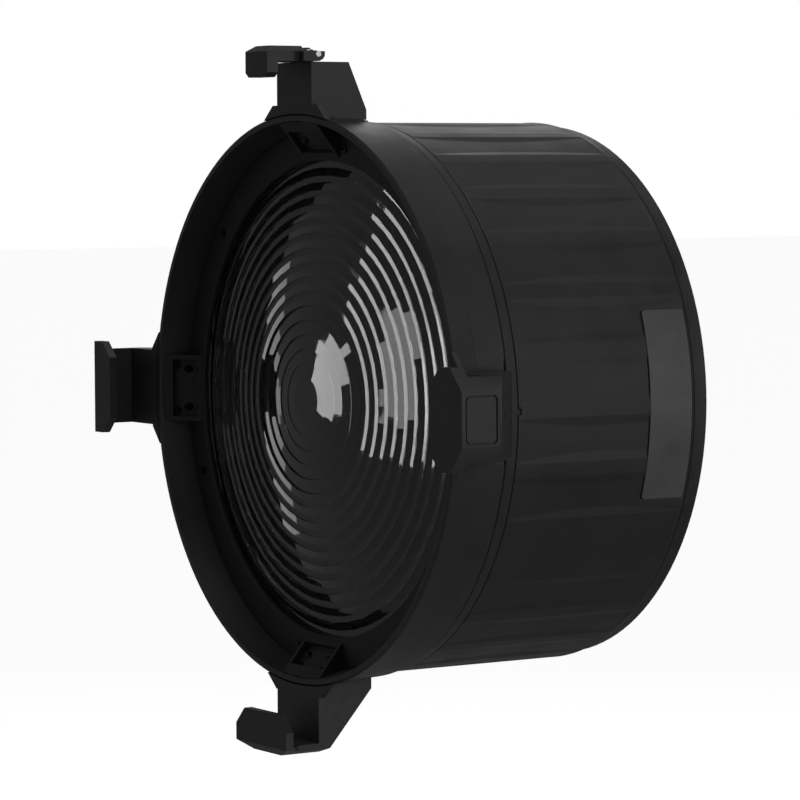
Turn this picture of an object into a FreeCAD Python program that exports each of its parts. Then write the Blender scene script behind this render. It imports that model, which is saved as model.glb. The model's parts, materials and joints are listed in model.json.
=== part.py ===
import FreeCAD, Part
import math
import os
import re
import Sketcher
from FreeCAD import Placement, Rotation, Vector

# Zoomable Fresnel lens unit for a studio lamp.
# Frame: origin at the centre of the rear bayonet's seating face, the optical axis along Y,
# the front towards -Y and +Z up. Depths named "depth" are measured back from the front rim.

os.makedirs("parts", exist_ok=True)
doc = FreeCAD.newDocument("fresnel_lens_unit")

DIMENSIONS = {
    # overall and front ring
    "body_depth": 200.0,
    "rim_radius": 147.0,
    "rim_wall": 3.6,
    "rim_chamfer": 1.0,
    "band_slope": 0.6,
    "band_depth": 14.0,
    "band_step": 0.5,
    "ring_depth": 32.0,
    "ring_rear_radius": 144.8,
    "hood_depth": 16.0,
    "hood_radius": 139.6,
    "hub_radius": 133.5,
    "wall": 3.0,
    "overcut": 1.0,
    # lens and what holds it
    "lens_radius": 127.0,
    "lens_window": 123.2,
    "lens_edge": 4.5,
    "lens_rise": 13.2,
    "button_radius": 11.5,
    "retainer_thick": 3.0,
    "gasket_thick": 1.5,
    "seat_gap": 0.1,
    "lens_room": 0.6,
    "retainer_screw_out": 4.0,
    # telescoping tubes
    "tube_outer": 131.0,
    "tube_wall": 2.8,
    "tube_end": 126.0,
    "guide_inner": 133.5,
    "guide_outer": 136.0,
    "guide_end": 152.6,
    "run_gap": 0.05,
    "press_gap": 0.01,
    "clear_gap": 0.3,
    "turn_gap": 0.4,
    "tube_lip_gap": 0.2,
    "tube_screw_out": 2.8,
    "slot_spare": 0.5,
    "glide_start": 5.2,
    "wiper_start": 1.0,
    "wiper_width": 5.0,
    "bearing_start": 1.2,
    "bearing_width": 6.0,
    "bearing_end": 2.0,
    "trim_start": 33.2,
    "trim_end": 39.6,
    "trim_radius": 143.7,
    "trim_chamfer": 0.8,
    # zoom sleeve
    "sleeve_start": 40.0,
    "sleeve_end": 147.0,
    "sleeve_inner": 137.0,
    "sleeve_outer": 143.0,
    "flute_count": 30,
    "flute_deep": 1.0,
    "flute_cutter": 56.0,
    "flute_taper": 0.9,
    "flute_margin": 2.0,
    "flute_run_in": 30.0,
    "rear_chamfer": 0.6,
    "groove_floor": 139.4,
    "groove_width": 8.6,
    "helix_lead": 200.0,
    "zoom_travel": 60.0,
    "follower_depth": 115.0,
    "label_start": 120.3,
    "label_half_angle": 19.4,
    "label_floor": 141.6,
    "label_proud": 0.1,
    "label_room": 0.1,
    "label_end_gap": 0.7,
    "notch_width": 3.0,
    "notch_floor": 141.9,
    "notch_long": 2.0,
    # rear
    "land_depth": 157.0,
    "land_radius": 141.0,
    "cone_radius": 131.0,
    "neck_radius": 84.0,
    "neck_depth": 187.0,
    "mount_radius": 72.0,
    "mount_thick": 5.0,
    "cone_wall": 2.8,
    "neck_wall": 3.5,
    "cone_slant": 1.6,
    "cover_screw_in": 4.0,
    "mount_screw_in": 3.4,
    "throat_radius": 49.0,
    "throat_relief": 2.0,
    "rib_count": 12,
    "rib_root": 1.0,
    "rib_neck_long": 6.0,
    "rib_neck_high": 4.0,
    "rib_cone_high": 1.0,
    "lug_count": 3,
    "lug_angle": 26.0,
    "lug_inner": 56.0,
    "hook_inner": 60.0,
    "lug_outer": 66.0,
    "lug_reach": 5.5,
    "hook_thick": 3.0,
    "lock_pin_radius": 3.0,
    "lock_pin_deep": 4.0,
    # accessory ears
    "ear_width": 41.0,
    "lip_width": 50.0,
    "lip_reach": 22.4,
    "lip_thick": 4.4,
    "lip_tip": 159.0,
    "lip_corner": 8.5,
    "web_inner": 175.0,
    "ear_top": 180.5,
    "ear_flat": 27.0,
    "bevel_drop": 4.1,
    "lip_bevel": 4.0,
    "neck_in_start": 5.4,
    "neck_in_end": 9.9,
    "root_sink": 4.0,
    "flank_sink": 6.0,
    "bore_spare": 4.0,
    "pad_half": 11.7,
    "pad_start": 6.2,
    "pad_end": 2.4,
    "pad_clip": 1.6,
    "pad_gap": 0.6,
    "pad_sink": 1.0,
    "pad_thick": 0.8,
    "slope_start": 4.5,
    "slope_foot": 149.0,
    "boss_base": 61.0,
    "boss_top": 43.0,
    "boss_height": 151.5,
    "boss_thick": 3.2,
    "relief_start": 8.0,
    "relief_inner": 20.2,
    "relief_outer": 26.2,
    "relief_floor": 141.9,
    # top ear and latch
    "post_width": 34.0,
    "post_top": 173.3,
    "post_depth": 22.4,
    "latch_width": 21.6,
    "latch_tip": 165.4,
    "latch_top": 181.5,
    "latch_lip": 6.4,
    "latch_bevel": 3.0,
    "latch_shoulder": 4.5,
    "shoulder_slant": 1.5,
    "latch_corner": 2.4,
    "latch_flat_in": 4.0,
    "latch_side_drop": 2.6,
    "hinge_depth": 4.5,
    "hinge_radius": 177.3,
    "pin_radius": 1.5,
    "knuckle": 3.7,
    "knuckle_corner": 2.6,
    "knuckle_flat": 1.0,
    "knuckle_back": 0.5,
    "lug_half": 6.0,
    "hinge_lug": 3.4,
    "hinge_lug_flat": 1.4,
    "pin_fit": 0.02,
    "notch_front": 4.3,
    "notch_back": 9.0,
    # wedge brackets inside the hood
    "bracket_width": 36.0,
    "bracket_inner": 124.6,
    "bracket_start": 1.2,
    "bracket_foot": 3.2,
    "bracket_rib": 2.5,
    "pocket_along": 2.6,
    "pocket_down": 2.3,
    "front_screw_across": 12.3,
    "front_screw_depth": 8.3,
    "front_screw_seat": 139.4,
    "rear_screw_across": 10.4,
    "rear_screw_depth": 12.7,
    "rear_screw_seat": 134.4,
    # screws: each head's radius and height, the shanks and the holes that they go in
    "retainer_head": 2.2,
    "retainer_head_height": 0.9,
    "tube_head": 2.0,
    "tube_head_height": 1.6,
    "cover_head": 2.75,
    "cover_head_height": 2.4,
    "cover_head_sink": 2.6,
    "bayonet_head": 2.6,
    "bayonet_head_height": 0.9,
    "bayonet_head_sink": 1.3,
    "head_gap": 0.15,
    "bracket_head": 1.9,
    "bracket_head_height": 2.0,
    "small_shank": 1.2,
    "small_core": 1.25,
    "screw_shank": 1.5,
    "screw_core": 1.55,
    "grub_radius": 2.05,
    "grub_length": 8.0,
    "grub_sink": 1.5,
    "grub_key": 1.2,
    # followers and the latch spring
    "follower_radius": 2.5,
    "bush_radius": 4.0,
    "bush_bore": 2.52,
    "spring_wire": 0.35,
    "spring_pitch": 0.85,
    "spring_length": 3.0,
    "spring_stand_off": 0.65,
}

LENS_RINGS = 15
FACET_EDGE_ANGLE = 32.0
EAR_ANGLES = {"top": 0.0, "right": 90.0, "bottom": 180.0, "left": 270.0}
FIXED_EARS = {side: angle for side, angle in EAR_ANGLES.items() if side != "top"}
FOLLOWER_ANGLES = [0.0, 120.0, 240.0]
FIRST_RETAINER_SCREW = 20.0
FIRST_TUBE_SCREW = 30.0
FIRST_COVER_SCREW = 15.0
FIRST_BAYONET_SCREW = 30.0
LOCK_PIN_ANGLE = 75.0
SCREWS_ROUND = 6

sheet = doc.addObject("Spreadsheet::Sheet", "Dims")
for row, (alias, value) in enumerate(DIMENSIONS.items(), start=1):
    sheet.set("A%d" % row, alias)
    sheet.set("B%d" % row, str(value))
    sheet.setAlias("B%d" % row, alias)
doc.recompute()

ALIAS = re.compile(r"\b(" + "|".join(sorted(DIMENSIONS, key=len, reverse=True)) + r")\b")
NODES = []


def bound(expression):
    """An expression in the sheet's aliases, as FreeCAD reads it."""
    return ALIAS.sub(r"Dims.\1", str(expression))


def depth(expression):
    """A depth behind the front rim, as a Y coordinate."""
    return "(%s - body_depth)" % expression


def numeric(expression):
    """The value now of an expression in the sheet's aliases."""
    return float(sheet.evalExpression(bound(expression)))


def keep(item, label):
    """Name a finished piece and list it for export."""
    item.Label = label
    NODES.append(item)
    return item


# ---------------------------------------------------------------- PartDesign helpers

def new_body(name):
    return doc.addObject("PartDesign::Body", name)


def origin_feature(body, role):
    """One of a body's own origin planes or axes."""
    for feature in body.Origin.OriginFeatures:
        if feature.Role == role:
            return feature
    raise ValueError(role)


def add_sketch(body, name, role="XY_Plane", offset=None):
    sketch = body.newObject("Sketcher::SketchObject", name)
    sketch.AttachmentSupport = [(origin_feature(body, role), "")]
    sketch.MapMode = "FlatFace"
    if offset is not None:
        sketch.setExpression("AttachmentOffset.Base.z", bound(offset))
    return sketch


def pin_point(sketch, curve, end, x_value, y_value):
    """Hold one point at a place given by two expressions."""
    for kind, value in (("DistanceX", x_value), ("DistanceY", y_value)):
        index = sketch.addConstraint(Sketcher.Constraint(kind, curve, end, numeric(value)))
        sketch.setExpression("Constraints[%d]" % index, bound(value))


def polygon(sketch, points):
    """A closed outline of straight lines through points given as expressions."""
    places = [Vector(numeric(x), numeric(y), 0) for x, y in points]
    first = sketch.GeometryCount
    count = len(points)
    for i, place in enumerate(places):
        sketch.addGeometry(Part.LineSegment(place, places[(i + 1) % count]), False)
    for i in range(count):
        following = first + (i + 1) % count
        sketch.addConstraint(Sketcher.Constraint("Coincident", first + i, 2, following, 1))
    for i, (x, y) in enumerate(points):
        pin_point(sketch, first + i, 1, x, y)


def circle(sketch, x, y, radius):
    place = Vector(numeric(x), numeric(y), 0)
    curve = sketch.addGeometry(Part.Circle(place, Vector(0, 0, 1), numeric(radius)), False)
    index = sketch.addConstraint(Sketcher.Constraint("Radius", curve, numeric(radius)))
    sketch.setExpression("Constraints[%d]" % index, bound(radius))
    pin_point(sketch, curve, 3, x, y)


def turned(body, name, points, kind="PartDesign::Revolution", angle=360.0):
    """Revolve, or cut, an outline of radius and Y about the optical axis."""
    sketch = add_sketch(body, name + "_outline")
    polygon(sketch, points)
    feature = body.newObject(kind, name)
    feature.Profile = sketch
    feature.ReferenceAxis = (sketch, ["V_Axis"])
    feature.Midplane = angle < 360.0
    feature.Angle = angle
    body.Tip = feature
    return feature


def extruded(body, name, kind, outlines, role, length, midplane=False, reverse=False, offset=None,
             circles=()):
    """Pad or pocket one or more outlines drawn on an origin plane."""
    sketch = add_sketch(body, name + "_outline", role, offset)
    for outline in outlines:
        polygon(sketch, outline)
    for x, y, radius in circles:
        circle(sketch, x, y, radius)
    feature = body.newObject(kind, name)
    feature.Profile = sketch
    feature.setExpression("Length", bound(length))
    feature.Midplane = midplane
    feature.Reversed = reverse
    body.Tip = feature
    return feature


def axial_holes(body, name, radius, first_angle, start, length, core, forwards=False,
                count=SCREWS_ROUND):
    """Holes parallel to the optical axis, evenly spaced on a circle."""
    place = ("(%s) * cos(%g)" % (radius, first_angle), "(%s) * sin(%g)" % (radius, first_angle))
    hole = extruded(body, name, "PartDesign::Pocket", [], "XZ_Plane", length,
                    offset="body_depth - (%s)" % start, reverse=forwards,
                    circles=[(place[0], place[1], core)])
    pattern = body.newObject("PartDesign::PolarPattern", name + "_all")
    pattern.Originals = [hole]
    pattern.Axis = (hole.Profile[0], ["N_Axis"])
    pattern.Angle = 360.0
    pattern.Occurrences = count
    body.Tip = pattern


def around_axis(body, name, feature, count):
    """Repeat a feature evenly about the optical axis."""
    pattern = body.newObject("PartDesign::PolarPattern", name)
    pattern.Originals = [feature]
    pattern.Axis = (origin_feature(body, "Y_Axis"), [""])
    pattern.Angle = 360.0
    pattern.setExpression("Occurrences", bound(count))
    body.Tip = pattern
    return pattern


def ring_body(label, points):
    """A turned piece of one outline."""
    body = new_body(label)
    turned(body, label + "_turn", points)
    return keep(body, label)


def box_outline(inner, outer, start, end):
    """A rectangular section from one radius and depth to another."""
    return [(inner, depth(start)), (outer, depth(start)), (outer, depth(end)), (inner, depth(end))]


# ---------------------------------------------------------------- Part helpers for small pieces

def cylinder(name, radius, height, start="0"):
    """A cylinder along +Z from a height above the origin."""
    item = doc.addObject("Part::Cylinder", name)
    item.setExpression("Radius", bound(radius))
    item.setExpression("Height", bound(height))
    item.setExpression("Placement.Base.z", bound(start))
    return item


def screw(name, head_radius, head_height, shank_radius, shank_length):
    """A socket screw with its head's seat at the origin and its shank along -Z."""
    head = cylinder(name + "_head", head_radius, head_height)
    shank = cylinder(name + "_shank", shank_radius, shank_length, "-(%s)" % shank_length)
    solid = doc.addObject("Part::Fuse", name + "_solid")
    solid.Base = head
    solid.Tool = shank
    socket = doc.addObject("Part::Prism", name + "_socket")
    socket.Polygon = 6
    socket.setExpression("Circumradius", bound("0.55 * (%s)" % head_radius))
    socket.setExpression("Height", bound(head_height))
    socket.setExpression("Placement.Base.z", bound("0.4 * (%s)" % head_height))
    cut = doc.addObject("Part::Cut", name)
    cut.Base = solid
    cut.Tool = socket
    return cut


def axial_group(label, first_angle, radius, seat_depth, facing, head, shank, length):
    """Screws parallel to the optical axis on a circle; facing is -1 for heads to the front."""
    items = []
    for i in range(SCREWS_ROUND):
        angle = first_angle + 360.0 * i / SCREWS_ROUND
        item = screw("%s_%d" % (label, i), head, head + "_height", shank, length)
        item.Placement.Rotation = Rotation(Vector(1, 0, 0), -90.0 * facing)
        item.setExpression("Placement.Base.x", bound("(%s) * cos(%g)" % (radius, angle)))
        item.setExpression("Placement.Base.y", bound(depth(seat_depth)))
        item.setExpression("Placement.Base.z", bound("(%s) * sin(%g)" % (radius, angle)))
        items.append(item)
    group = doc.addObject("Part::Compound", label)
    group.Links = items
    return keep(group, label)


def spun(item, angle):
    """Turn a piece modelled above the axis to its place round the optical axis."""
    turn = Rotation(Vector(0, 1, 0), angle)
    item.Placement = Placement(Vector(0, 0, 0), turn).multiply(item.Placement)


# ---------------------------------------------------------------- front ring and lens

RETAINER_FRONT = "hood_depth"
WEB_FRONT = "hood_depth + retainer_thick"
LENS_FRONT = "(hood_depth + retainer_thick + seat_gap)"
LENS_BACK = "(hood_depth + retainer_thick + seat_gap + lens_edge)"
SHELF = "(hood_depth + retainer_thick + seat_gap + lens_edge + gasket_thick)"
RETAINER_SCREW_RADIUS = "lens_radius + retainer_screw_out"
TUBE_SCREW_RADIUS = "lens_window + tube_screw_out"
COVER_SCREW_RADIUS = "land_radius - cover_screw_in"
MOUNT_SCREW_RADIUS = "mount_radius - mount_screw_in"
BRACKET_HOLES = [
    (sign + row + "_screw_across", row + "_screw_depth", row + "_screw_seat")
    for row in ("front", "rear") for sign in ("", "-")
]


def ring_outside(gap):
    """The ring's outer surface from front to back, a gap proud of it."""
    return [
        ("rim_radius + %s" % gap, depth("rim_chamfer")),
        ("rim_radius - rim_chamfer + %s" % gap, depth("band_depth")),
        ("rim_radius - rim_chamfer - band_step + %s" % gap, depth("band_depth + band_slope")),
        ("ring_rear_radius + %s" % gap, depth("ring_depth")),
    ]


def make_front_ring():
    """The casting that holds the lens; wedge-shaped reliefs beside each ear clear its foot."""
    body = new_body("front_ring")
    outline = [("rim_radius - rim_wall", depth("0")), ("rim_radius - rim_chamfer", depth("0"))]
    outline += ring_outside("0")
    outline += [
        ("ring_rear_radius - wall", depth("ring_depth")),
        ("ring_rear_radius - wall", depth("hood_depth + retainer_thick + wall")),
        ("hub_radius", depth("hood_depth + retainer_thick + wall")),
        ("hub_radius", depth("ring_depth")),
        ("lens_window", depth("ring_depth")),
        ("lens_window", depth(SHELF)),
        ("lens_radius + lens_room", depth(SHELF)),
        ("lens_radius + lens_room", depth(WEB_FRONT)),
        ("hood_radius", depth(WEB_FRONT)),
        ("hood_radius", depth("hood_depth")),
    ]
    turned(body, "ring_turn", outline)
    vertical = [(t, depth(d), "screw_core") for t, d, seat in BRACKET_HOLES]
    extruded(body, "bracket_holes_vertical", "PartDesign::Pocket", [], "XY_Plane",
             "2 * (rim_radius + overcut)", midplane=True, circles=vertical)
    sideways = [(depth(d), t, "screw_core") for t, d, seat in BRACKET_HOLES]
    extruded(body, "bracket_holes_sideways", "PartDesign::Pocket", [], "YZ_Plane",
             "2 * (rim_radius + overcut)", midplane=True, circles=sideways)
    reliefs = [[
        (sign + "relief_inner", depth("relief_start")),
        (sign + "relief_inner", depth("ring_depth + overcut")),
        (sign + "relief_outer", depth("ring_depth + overcut")),
    ] for sign in ("", "-")]
    relief = extruded(body, "ear_relief", "PartDesign::Pocket", reliefs, "XY_Plane",
                      "rim_radius - relief_floor", offset="relief_floor", reverse=True)
    around_axis(body, "ear_reliefs", relief, str(len(EAR_ANGLES)))
    axial_holes(body, "tube_screw_holes", TUBE_SCREW_RADIUS, FIRST_TUBE_SCREW, "ring_depth",
                "2 * wall", "screw_core", forwards=True)
    axial_holes(body, "retainer_screw_holes", RETAINER_SCREW_RADIUS, FIRST_RETAINER_SCREW,
                WEB_FRONT, "wall + overcut", "small_core")
    keep(body, "front_ring")


def make_lens():
    """A stepped disc: each facet falls away outwards, then a riser returns to the dome."""
    inner = DIMENSIONS["button_radius"]
    edge = DIMENSIONS["lens_window"]
    width = (edge - inner) / LENS_RINGS
    crown = "(%s - lens_rise)" % LENS_FRONT
    outline = [("0", depth(crown)), ("button_radius", depth(crown))]
    for i in range(LENS_RINGS):
        near = "(button_radius + %d / %d * (lens_window - button_radius))" % (i, LENS_RINGS)
        far = "(button_radius + %d / %d * (lens_window - button_radius))" % (i + 1, LENS_RINGS)
        slope = math.tan(math.radians(FACET_EDGE_ANGLE * (inner + width * (i + 0.5)) / edge))
        crest = "%s + lens_rise * (%s / lens_window) ^ 2" % (crown, near)
        if i > 0:
            outline.append((near, depth(crest)))
        outline.append((far, depth("%s + %.4f" % (crest, slope * width))))
    outline += [
        ("lens_window", depth(LENS_FRONT)),
        ("lens_radius", depth(LENS_FRONT)),
        ("lens_radius", depth(LENS_BACK)),
        ("0", depth(LENS_BACK)),
    ]
    ring_body("fresnel_lens", outline)


def make_lens_holders():
    body = new_body("lens_retainer")
    turned(body, "retainer_turn", [
        ("lens_window", depth(RETAINER_FRONT + " + rim_chamfer")),
        ("lens_window + rim_chamfer", depth(RETAINER_FRONT)),
        ("hood_radius - clear_gap", depth(RETAINER_FRONT)),
        ("hood_radius - clear_gap", depth(WEB_FRONT)),
        ("lens_window", depth(WEB_FRONT)),
    ])
    axial_holes(body, "screw_holes", RETAINER_SCREW_RADIUS, FIRST_RETAINER_SCREW,
                RETAINER_FRONT, "retainer_thick", "small_core")
    keep(body, "lens_retainer")
    ring_body("lens_gasket", box_outline("lens_window + clear_gap", "lens_radius + clear_gap",
                                         LENS_BACK, SHELF))
    axial_group("retainer_screws", FIRST_RETAINER_SCREW, RETAINER_SCREW_RADIUS, RETAINER_FRONT,
                -1, "retainer_head", "small_shank", "2 * retainer_thick")


# ---------------------------------------------------------------- telescoping tubes

def radial_holes(body, name, y_depth, radius):
    """A hole through a tube's wall for each follower."""
    hole = extruded(body, name, "PartDesign::Pocket", [], "XY_Plane", "rim_radius",
                    reverse=True, circles=[("0", depth(y_depth), radius)])
    around_axis(body, name + "_all", hole, str(len(FOLLOWER_ANGLES)))


def make_carriage():
    body = new_body("carriage_tube")
    turned(body, "carriage_turn", [
        ("lens_window + tube_lip_gap", depth("ring_depth + run_gap")),
        ("tube_outer", depth("ring_depth + run_gap")),
        ("tube_outer", depth("tube_end")),
        ("tube_outer - tube_wall", depth("tube_end")),
        ("tube_outer - tube_wall", depth("ring_depth + wall")),
        ("lens_window + tube_lip_gap", depth("ring_depth + wall")),
    ])
    axial_holes(body, "screw_holes", TUBE_SCREW_RADIUS, FIRST_TUBE_SCREW, "ring_depth",
                "wall + overcut", "screw_core")
    radial_holes(body, "follower_hole", "follower_depth", "follower_radius + run_gap")
    keep(body, "carriage_tube")
    axial_group("tube_screws", FIRST_TUBE_SCREW, TUBE_SCREW_RADIUS, "ring_depth + wall", 1,
                "tube_head", "screw_shank", "2 * wall + 2 * overcut")
    ring_body("rear_glide_ring", box_outline("tube_outer + press_gap", "guide_inner - run_gap",
                                             "follower_depth + glide_start", "tube_end"))


def make_guide():
    body = new_body("guide_tube")
    turned(body, "guide_turn", [
        ("guide_inner", depth("trim_start + turn_gap")),
        ("guide_outer", depth("trim_start + turn_gap")),
        ("guide_outer", depth("guide_end - wall")),
        ("land_radius", depth("guide_end - wall")),
        ("land_radius", depth("guide_end")),
        ("guide_inner", depth("guide_end")),
    ])
    half = "groove_width / 2"
    slot_front = depth("follower_depth - zoom_travel - %s - slot_spare" % half)
    slot_back = depth("follower_depth + %s + slot_spare" % half)
    slot = extruded(body, "guide_slot", "PartDesign::Pocket", [[
        ("-" + half, slot_front),
        (half, slot_front),
        (half, slot_back),
        ("-" + half, slot_back),
    ]], "XY_Plane", "rim_radius", reverse=True)
    around_axis(body, "guide_slots", slot, str(len(FOLLOWER_ANGLES)))
    axial_holes(body, "cover_screw_holes", COVER_SCREW_RADIUS, FIRST_COVER_SCREW,
                "guide_end - wall - overcut", "wall + 2 * overcut", "screw_core")
    keep(body, "guide_tube")
    ring_body("front_wiper_ring", box_outline("tube_outer + run_gap", "guide_inner - press_gap",
                                              "sleeve_start + wiper_start",
                                              "sleeve_start + wiper_start + wiper_width"))
    ring_body("front_bearing_band", box_outline("guide_outer + press_gap", "sleeve_inner - run_gap",
                                                "sleeve_start + bearing_start",
                                                "sleeve_start + bearing_start + bearing_width"))
    ring_body("rear_bearing_band", box_outline("guide_outer + press_gap", "sleeve_inner - run_gap",
                                               "sleeve_end - bearing_end - bearing_width",
                                               "sleeve_end - bearing_end"))
    ring_body("front_trim_ring", [
        ("guide_outer + run_gap", depth("trim_start")),
        ("trim_radius - trim_chamfer", depth("trim_start")),
        ("trim_radius", depth("trim_start + trim_chamfer")),
        ("trim_radius - trim_chamfer / 2", depth("trim_end - trim_chamfer / 2")),
        ("trim_radius - trim_chamfer", depth("trim_end")),
        ("guide_outer + run_gap", depth("trim_end")),
    ])
    ring_body("rear_trim_ring", [
        ("guide_outer + run_gap", depth("sleeve_end + turn_gap")),
        ("sleeve_outer - label_end_gap", depth("sleeve_end + turn_gap")),
        ("land_radius - tube_lip_gap", depth("guide_end - wall - run_gap")),
        ("guide_outer + run_gap", depth("guide_end - wall - run_gap")),
    ])


def make_followers():
    """Three posts through the guide's slots, each with a bush in the slot and a roller."""
    post_start = "(tube_outer - tube_wall - tube_head_height)"
    parts = {
        "cam_followers": ("follower_radius", "groove_floor - clear_gap - " + post_start,
                          post_start, None),
        "slot_bushes": ("bush_radius", "guide_outer - guide_inner - 2 * clear_gap",
                        "guide_inner + clear_gap", "bush_bore"),
        "cam_rollers": ("bush_radius", "groove_floor - sleeve_inner - 2 * clear_gap",
                        "sleeve_inner + clear_gap", "bush_bore"),
    }
    for label, (radius, height, start, bore) in parts.items():
        items = []
        for i, angle in enumerate(FOLLOWER_ANGLES):
            item = cylinder("%s_%d" % (label, i), radius, height, start)
            if bore is not None:
                hole = cylinder("%s_bore_%d" % (label, i), bore, height, start)
                ringed = doc.addObject("Part::Cut", "%s_ring_%d" % (label, i))
                ringed.Base = item
                ringed.Tool = hole
                item = ringed
            turned_item = doc.addObject("Part::Compound", "%s_place_%d" % (label, i))
            turned_item.Links = [item]
            turned_item.Placement.Rotation = Rotation(Vector(0, 1, 0), angle)
            turned_item.setExpression("Placement.Base.y", bound(depth("follower_depth")))
            items.append(turned_item)
        group = doc.addObject("Part::Compound", label)
        group.Links = items
        keep(group, label)


# ---------------------------------------------------------------- zoom sleeve

HALF_FLUTE = 180.0 / DIMENSIONS["flute_count"]
GROOVE_SLANT = "sqrt(1 + (helix_lead / (2 * pi * sleeve_inner)) ^ 2)"
GROOVE_LEAD_IN = 3.0
AXIS_MARK = 50.0


def make_sleeve():
    """The turned and fluted sleeve; a ridge, not a flute, lies over the label's middle."""
    body = new_body("sleeve_body")
    turned(body, "sleeve_turn", [
        ("sleeve_inner", depth("sleeve_start")),
        ("sleeve_outer - trim_chamfer", depth("sleeve_start")),
        ("sleeve_outer", depth("sleeve_start + trim_chamfer")),
        ("sleeve_outer", depth("sleeve_end - rear_chamfer")),
        ("sleeve_outer - rear_chamfer", depth("sleeve_end")),
        ("sleeve_inner", depth("sleeve_end")),
    ])
    flute = body.newObject("PartDesign::Groove", "flute")
    sketch = add_sketch(body, "flute_outline", "XY_Plane")
    sketch.AttachmentOffset.Rotation = Rotation(Vector(0, 1, 0), HALF_FLUTE)
    flute_section(sketch)
    flute.Profile = sketch
    flute.ReferenceAxis = (sketch, ["Axis0"])
    flute.Angle = 360.0
    body.Tip = flute
    around_axis(body, "flutes", flute, "flute_count")
    return body


def flute_section(sketch):
    """Half a long spindle beside the sleeve; turning it about its own axis cuts one flute."""
    axis = "(sleeve_outer + flute_cutter - flute_deep)"
    near = "(sleeve_outer - flute_deep)"
    points = [
        (axis, depth("sleeve_start + flute_margin")),
        ("%s + flute_taper" % near, depth("sleeve_start + flute_margin")),
        (near, depth("sleeve_start + flute_run_in")),
        (near, depth("sleeve_end - flute_run_in")),
        ("%s + flute_taper" % near, depth("sleeve_end - flute_margin")),
        (axis, depth("sleeve_end - flute_margin")),
    ]
    polygon(sketch, points)
    line = Part.LineSegment(Vector(numeric(axis), 0, 0), Vector(numeric(axis), AXIS_MARK, 0))
    curve = sketch.addGeometry(line, True)
    sketch.addConstraint(Sketcher.Constraint("Vertical", curve))
    pin_point(sketch, curve, 1, axis, "0")
    sketch.addConstraint(Sketcher.Constraint("DistanceY", curve, 1, curve, 2, AXIS_MARK))


def make_label_pocket(body):
    """The shallow seat for the label, and a notch in the front edge that marks the zoom."""
    sketch = add_sketch(body, "label_seat_outline", "XY_Plane")
    polygon(sketch, [
        ("label_floor", depth("label_start - label_room")),
        ("sleeve_outer + overcut", depth("label_start - label_room")),
        ("sleeve_outer + overcut", depth("sleeve_end + overcut")),
        ("label_floor", depth("sleeve_end + overcut")),
    ])
    seat = body.newObject("PartDesign::Groove", "label_seat")
    seat.Profile = sketch
    seat.ReferenceAxis = (sketch, ["V_Axis"])
    seat.Midplane = True
    seat.setExpression("Angle", bound("2 * (label_half_angle + label_room)"))
    body.Tip = seat
    extruded(body, "index_notch", "PartDesign::Pocket", [[
        (depth("sleeve_start - overcut"), "-notch_width / 2"),
        (depth("sleeve_start + notch_long"), "-notch_width / 2"),
        (depth("sleeve_start + notch_long"), "notch_width / 2"),
        (depth("sleeve_start - overcut"), "notch_width / 2"),
    ]], "YZ_Plane", "sleeve_outer", offset="notch_floor", reverse=True)


def helix_frame(angle, lead_in):
    """A frame whose Z runs forward and whose X points outwards where a helix starts."""
    forward = Rotation(Vector(0, 0, 1), Vector(-1, 0, 0), Vector(0, -1, 0), "XYZ")
    start = Rotation(Vector(0, 0, 1), -lead_in)
    return Rotation(Vector(0, 1, 0), angle).multiply(forward).multiply(start)


def make_cam_grooves(sleeve):
    """Three helical grooves inside the sleeve that carry the followers forward as it turns."""
    run_on = "helix_lead * %g / 360" % GROOVE_LEAD_IN
    half = "groove_width * %s / 2" % GROOVE_SLANT
    cutters = []
    for i, angle in enumerate(FOLLOWER_ANGLES):
        turn = helix_frame(angle, GROOVE_LEAD_IN)
        spine = doc.addObject("Part::Helix", "cam_spine_%d" % i)
        spine.setExpression("Pitch", bound("helix_lead"))
        spine.setExpression("Height", bound("zoom_travel + 2 * %s" % run_on))
        spine.setExpression("Radius", bound("sleeve_inner"))
        spine.Placement.Rotation = turn
        spine.setExpression("Placement.Base.y", bound(depth("follower_depth + " + run_on)))
        section = doc.addObject("Sketcher::SketchObject", "cam_section_%d" % i)
        polygon(section, [
            ("sleeve_inner - overcut", "-" + half),
            ("groove_floor", "-" + half),
            ("groove_floor", half),
            ("sleeve_inner - overcut", half),
        ])
        section.Placement.Rotation = turn.multiply(Rotation(Vector(1, 0, 0), 90.0))
        section.setExpression("Placement.Base.y", bound(depth("follower_depth + " + run_on)))
        sweep = doc.addObject("Part::Sweep", "cam_groove_%d" % i)
        sweep.Sections = [section]
        sweep.Spine = (spine, ["Edge1"])
        sweep.Solid = True
        sweep.Frenet = True
        cutters.append(sweep)
    grooves = doc.addObject("Part::MultiFuse", "cam_grooves")
    grooves.Shapes = cutters
    cut = doc.addObject("Part::Cut", "sleeve_cut")
    cut.Base = sleeve
    cut.Tool = grooves
    keep(cut, "zoom_sleeve")


# ---------------------------------------------------------------- label, rear cover and bayonet

def make_label():
    body = new_body("label_plate")
    feature = turned(body, "label_turn", [
        ("label_floor + run_gap", depth("label_start")),
        ("sleeve_outer + label_proud", depth("label_start")),
        ("sleeve_outer + label_proud", depth("sleeve_end - label_end_gap")),
        ("label_floor + run_gap", depth("sleeve_end - label_end_gap")),
    ], angle=2 * DIMENSIONS["label_half_angle"])
    feature.setExpression("Angle", bound("2 * label_half_angle"))
    keep(body, "label_plate")


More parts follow.
